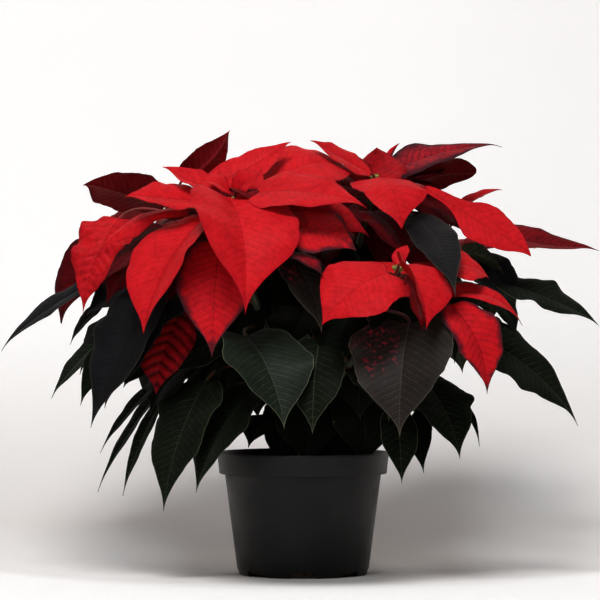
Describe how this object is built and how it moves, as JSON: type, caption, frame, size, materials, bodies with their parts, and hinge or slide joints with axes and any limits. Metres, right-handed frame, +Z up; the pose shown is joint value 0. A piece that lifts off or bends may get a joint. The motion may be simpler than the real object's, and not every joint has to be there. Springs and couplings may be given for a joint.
{
  "type": "potted poinsettia",
  "caption": "Potted poinsettia with red bracts in rosettes over dark green leaves, standing in a black tapered nursery pot.",
  "frame": {"origin": "centre of the pot's flat underside", "axes": "+Z up, +X to the right of the plant's front, +Y towards its back"},
  "size_m": [0.5333, 0.3503, 0.3972],
  "materials": {
    "pot_plastic": "satin",
    "potting_soil": "matte",
    "stem_bark": "matte",
    "cyathia": "satin",
    "bract_red": "satin",
    "turning_leaf": "satin",
    "leaf_green": "satin"
  },
  "bodies": {
    "root": {"pot": "pot_plastic", "potting_soil": "potting_soil", "main_stem": "stem_bark", "shoot_a": "stem_bark", "shoot_b": "stem_bark", "shoot_c": "stem_bark", "shoot_d": "stem_bark", "shoot_e": "stem_bark", "cyathia_a": "cyathia", "cyathia_b": "cyathia", "cyathia_c": "cyathia", "cyathia_d": "cyathia", "cyathia_e": "cyathia", "bract_a_upper_right": "bract_red", "bract_a_front": "bract_red", "bract_a_right": "bract_red", "bract_a_left": "bract_red", "bract_a_back_right": "bract_red", "bract_a_front_left": "bract_red", "bract_a_lower_right": "bract_red", "bract_a_front_low": "bract_red", "bract_a_left_low": "bract_red", "bract_a_left_far": "bract_red", "bract_a_dark": "bract_red", "bract_b_left": "bract_red", "bract_b_front": "bract_red", "bract_b_right_high": "bract_red", "bract_b_right_back": "bract_red", "bract_b_right": "bract_red", "bract_b_back": "bract_red", "bract_c_front": "bract_red", "bract_c_left": "bract_red", "bract_c_right_up": "bract_red", "bract_c_right": "bract_red", "bract_c_right_low": "bract_red", "bract_d_up": "bract_red", "bract_d_left": "bract_red", "bract_d_left_low": "bract_red", "bract_d_back": "bract_red", "bract_e_right": "bract_red", "bract_e_back": "bract_red", "bract_e_back_right": "bract_red", "turning_leaf_a": "turning_leaf", "turning_leaf_b": "turning_leaf", "turning_leaf_c": "turning_leaf", "leaf_front_left": "leaf_green", "leaf_front_middle": "leaf_green", "leaf_front_low": "leaf_green", "leaf_left_dark": "leaf_green", "leaf_left_far": "leaf_green", "leaf_left_low": "leaf_green", "leaf_left_lowest": "leaf_green", "leaf_front_left_low": "leaf_green", "leaf_right_high": "leaf_green", "leaf_right_big": "leaf_green", "leaf_right_low": "leaf_green", "leaf_front_right_low": "leaf_green", "leaf_back_left": "leaf_green", "leaf_back_right": "leaf_green", "leaf_back": "leaf_green"}
  },
  "joints": []
}
